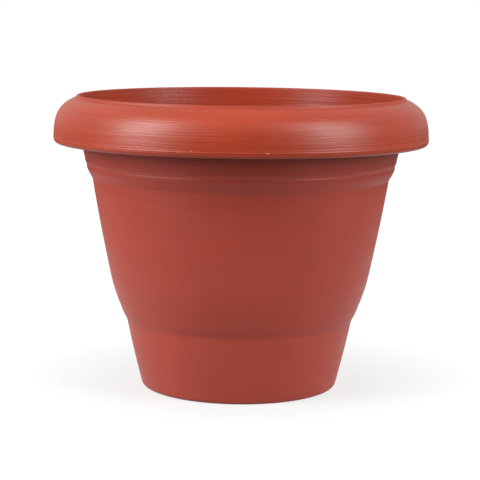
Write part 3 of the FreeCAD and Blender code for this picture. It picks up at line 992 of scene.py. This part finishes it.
# stage: pale floor, white surround, two tall soft boxes and a wide front panel
stageSize = {
    "floorRadius": 6.0,
    "floorSegments": 96,
    "floorNear": 0.22,         # grey of the floor close to the pot and far from it, for bounced light
    "floorFar": 0.06,
    "floorFade": (0.30, 0.42),
    "glowNear": 0.71,          # white that the camera sees, less near the pot so its shadow shows
    "glowFar": 1.0,
    "glowFade": (0.10, 0.34),
    "glossNear": 1.0,          # share of that white that reflections see, close to the pot and far from it
    "glossFar": 0.04,
    "glossFade": (0.15, 0.78),
    "glossBack": 0.25,         # that share is centred this far behind the pot
    "surroundFront": 0.0,      # the surround is dark on the camera's side and bright behind the pot
    "surroundBack": 0.70,
    "surroundTop": 0.04,
    "topFade": (0.3, 0.9),
    "aim": 0.15,               # height that the boxes point at
    "boxes": (                 # azimuth from the camera's side, elevation, distance, width, height, watts
        ("leftStrip", -61.5, 27, 1.7, 0.7, 1.45, 30.5),
        ("rightStrip", 57.5, 27, 1.7, 0.7, 1.45, 23),
        ("frontPanel", 0, 46, 1.8, 2.4, 1.0, 2.4),
    ),
}


def lookRays(tree, gloss):
    # 1 for what the camera sees, the given share for what shows in a reflection, 0 for light that bounces
    rays = tree.nodes.new("ShaderNodeLightPath").outputs
    mirrored = mathNode(tree, "MULTIPLY", rays["Is Glossy Ray"], gloss)
    direct = mathNode(tree, "MAXIMUM", rays["Is Camera Ray"], mirrored)
    return mathNode(tree, "MAXIMUM", direct, rays["Is Transmission Ray"])


def makeFloor():
    size = stageSize
    mesh = bpy.data.meshes.new("floor")
    shape = bmesh.new()
    segments = size["floorSegments"]
    bmesh.ops.create_circle(shape, cap_ends=True, segments=segments, radius=size["floorRadius"])
    shape.to_mesh(mesh)
    shape.free()
    floor = bpy.data.objects.new("floor", mesh)
    scene.collection.objects.link(floor)
    material = bpy.data.materials.new("paleFloor")
    material.use_nodes = True
    tree = material.node_tree
    tree.nodes.clear()
    place = tree.nodes.new("ShaderNodeTexCoord").outputs["Object"]
    away = addNode(tree, "ShaderNodeVectorMath", {0: place}, operation="LENGTH").outputs["Value"]
    grey = remap(tree, away, *size["floorFade"], size["floorNear"], size["floorFar"])
    matte = addNode(tree, "ShaderNodeBsdfDiffuse", {"Color": grey})
    white = remap(tree, away, *size["glowFade"], size["glowNear"], size["glowFar"])
    middle = (0, size["glossBack"], 0)
    behind = addNode(tree, "ShaderNodeVectorMath", {0: place, 1: middle}, operation="DISTANCE")
    gloss = remap(tree, behind.outputs["Value"], *size["glossFade"], size["glossNear"], size["glossFar"])
    share = mathNode(tree, "MULTIPLY", lookRays(tree, gloss), white)
    glow = addNode(tree, "ShaderNodeEmission", {"Color": (1, 1, 1, 1), "Strength": share})
    both = addNode(tree, "ShaderNodeAddShader", {0: matte.outputs[0], 1: glow.outputs[0]})
    # from below the floor is clear, so the underside shows
    under = tree.nodes.new("ShaderNodeNewGeometry").outputs["Backfacing"]
    clear = addNode(tree, "ShaderNodeBsdfTransparent")
    sided = addNode(tree, "ShaderNodeMixShader", {0: under, 1: both.outputs[0], 2: clear.outputs[0]})
    output = tree.nodes.new("ShaderNodeOutputMaterial")
    tree.links.new(sided.outputs[0], output.inputs["Surface"])
    mesh.materials.append(material)


def makeWorld():
    size = stageSize
    world = bpy.data.worlds.new("whiteSurround")
    world.use_nodes = True
    tree = world.node_tree
    tree.nodes.clear()
    way = tree.nodes.new("ShaderNodeTexCoord").outputs["Generated"]
    axes = addNode(tree, "ShaderNodeSeparateXYZ", {"Vector": way}).outputs
    shade = remap(tree, axes["Y"], -1.0, 1.0, size["surroundFront"], size["surroundBack"])
    dome = remap(tree, axes["Z"], *size["topFade"], 0.0, size["surroundTop"])
    shade = mathNode(tree, "ADD", shade, dome)
    camera = tree.nodes.new("ShaderNodeLightPath").outputs["Is Camera Ray"]
    power = mathNode(tree, "MAXIMUM", shade, camera)
    light = addNode(tree, "ShaderNodeBackground", {"Color": (1, 1, 1, 1), "Strength": power})
    output = tree.nodes.new("ShaderNodeOutputWorld")
    tree.links.new(light.outputs[0], output.inputs["Surface"])
    scene.world = world


def softBox(name, azimuth, elevation, distance, width, height, watts):
    # azimuth 0 is the camera's side, positive to its right
    lamp = bpy.data.lights.new(name, "AREA")
    lamp.shape = "RECTANGLE"
    lamp.size = width
    lamp.size_y = height
    lamp.energy = watts
    box = bpy.data.objects.new(name, lamp)
    box.visible_camera = False
    scene.collection.objects.link(box)
    turn = math.radians(azimuth)
    lift = math.radians(elevation)
    way = Vector((math.sin(turn) * math.cos(lift), -math.cos(turn) * math.cos(lift), math.sin(lift)))
    target = Vector((0, 0, stageSize["aim"]))
    place = target + distance * way
    facing = (target - place).to_track_quat("-Z", "Y").to_matrix().to_4x4()
    box.matrix_world = Matrix.Translation(place) @ facing


# camera, fitted to the rings of the pot in the photograph
cameraSize = {
    "focalPixels": 1662.1,
    "framePixels": 480,
    "sensor": 36.0,
    "distance": 1.3523,
    "height": 0.3158,
    "pitch": 8.258,
    "roll": 0.623,
    "clipEnd": 50,
}


def makeCamera():
    size = cameraSize
    data = bpy.data.cameras.new("camera")
    data.sensor_width = size["sensor"]
    data.lens = size["sensor"] * size["focalPixels"] / size["framePixels"]
    data.clip_end = size["clipEnd"]
    camera = bpy.data.objects.new("camera", data)
    scene.collection.objects.link(camera)
    tilt = Matrix.Rotation(math.radians(90 - size["pitch"]), 4, "X")
    roll = Matrix.Rotation(math.radians(size["roll"]), 4, "Z")
    camera.matrix_world = Matrix.Translation((0, -size["distance"], size["height"])) @ tilt @ roll
    scene.camera = camera


makeFloor()
makeWorld()
for setting in stageSize["boxes"]:
    softBox(*setting)
makeCamera()
scene.view_settings.view_transform = "Standard"
print("stage ready")
